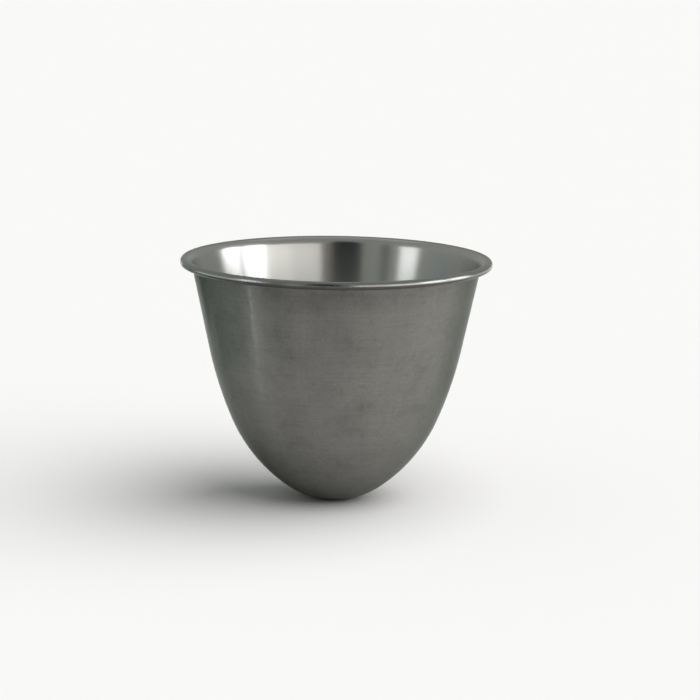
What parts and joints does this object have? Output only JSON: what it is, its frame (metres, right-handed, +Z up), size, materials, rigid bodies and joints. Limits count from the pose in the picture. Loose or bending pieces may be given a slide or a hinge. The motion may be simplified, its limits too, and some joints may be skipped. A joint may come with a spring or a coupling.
{
  "type": "stainless steel bowl",
  "caption": "Deep round-bottomed stainless steel bowl, bright inside and dull outside, with a flared lip rolled over a wire; holds food or drink.",
  "frame": {"origin": "centre of the small flat under the bowl, on the surface that it stands on", "axes": "+Z up along the bowl's axis, out of its mouth; +X towards the gap between the ends of the rim wire"},
  "size_m": [0.12, 0.12, 0.094],
  "materials": {
    "bowl_steel": "dull satin outside, mirror bright inside and over the rolled bead",
    "wire_steel": "plain drawn wire"
  },
  "bodies": {
    "root": {"bowl_shell": "bowl_steel", "rim_wire": "wire_steel"}
  },
  "joints": []
}
